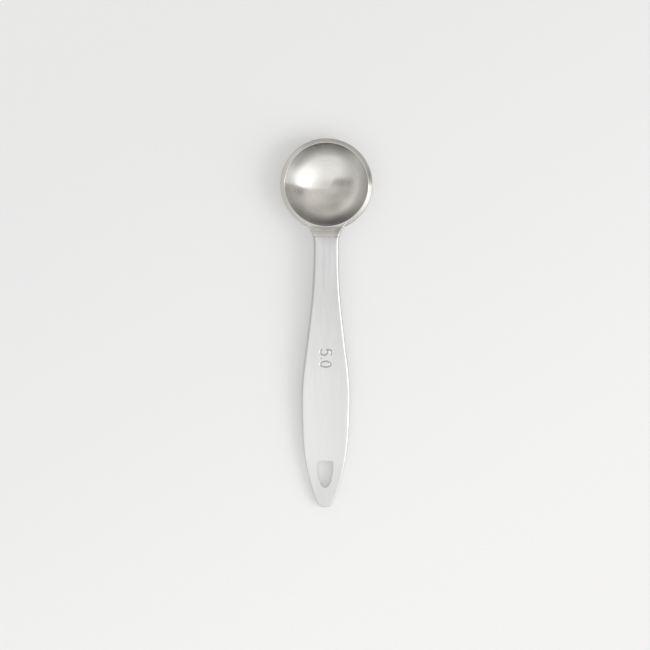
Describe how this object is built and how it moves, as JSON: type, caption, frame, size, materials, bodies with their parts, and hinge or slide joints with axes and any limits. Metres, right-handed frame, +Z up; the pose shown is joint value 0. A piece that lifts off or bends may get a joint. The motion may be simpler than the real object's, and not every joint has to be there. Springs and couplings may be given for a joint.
{
  "type": "measuring spoon",
  "caption": "Measuring teaspoon of satin steel: round bowl with a flat rim, its tongue welded under a channel-shaped handle that slopes to the table and has a pear-shaped hanging hole.",
  "frame": {"origin": "on the table, below the middle of the spoon's length and width", "axes": "+Y along the spoon from its tip towards its bowl, +Z up, out of the bowl's mouth, +X across the handle"},
  "size_m": [0.0416, 0.166, 0.01],
  "materials": {
    "bowl_steel": "satin stainless steel, finely brushed",
    "handle_steel": "satin stainless steel, brushed along the handle",
    "weld_metal": "stainless weld metal, wire brushed"
  },
  "bodies": {
    "root": {"bowl": "bowl_steel", "handle": "handle_steel", "front_weld": "weld_metal", "rear_weld": "weld_metal"}
  },
  "joints": []
}
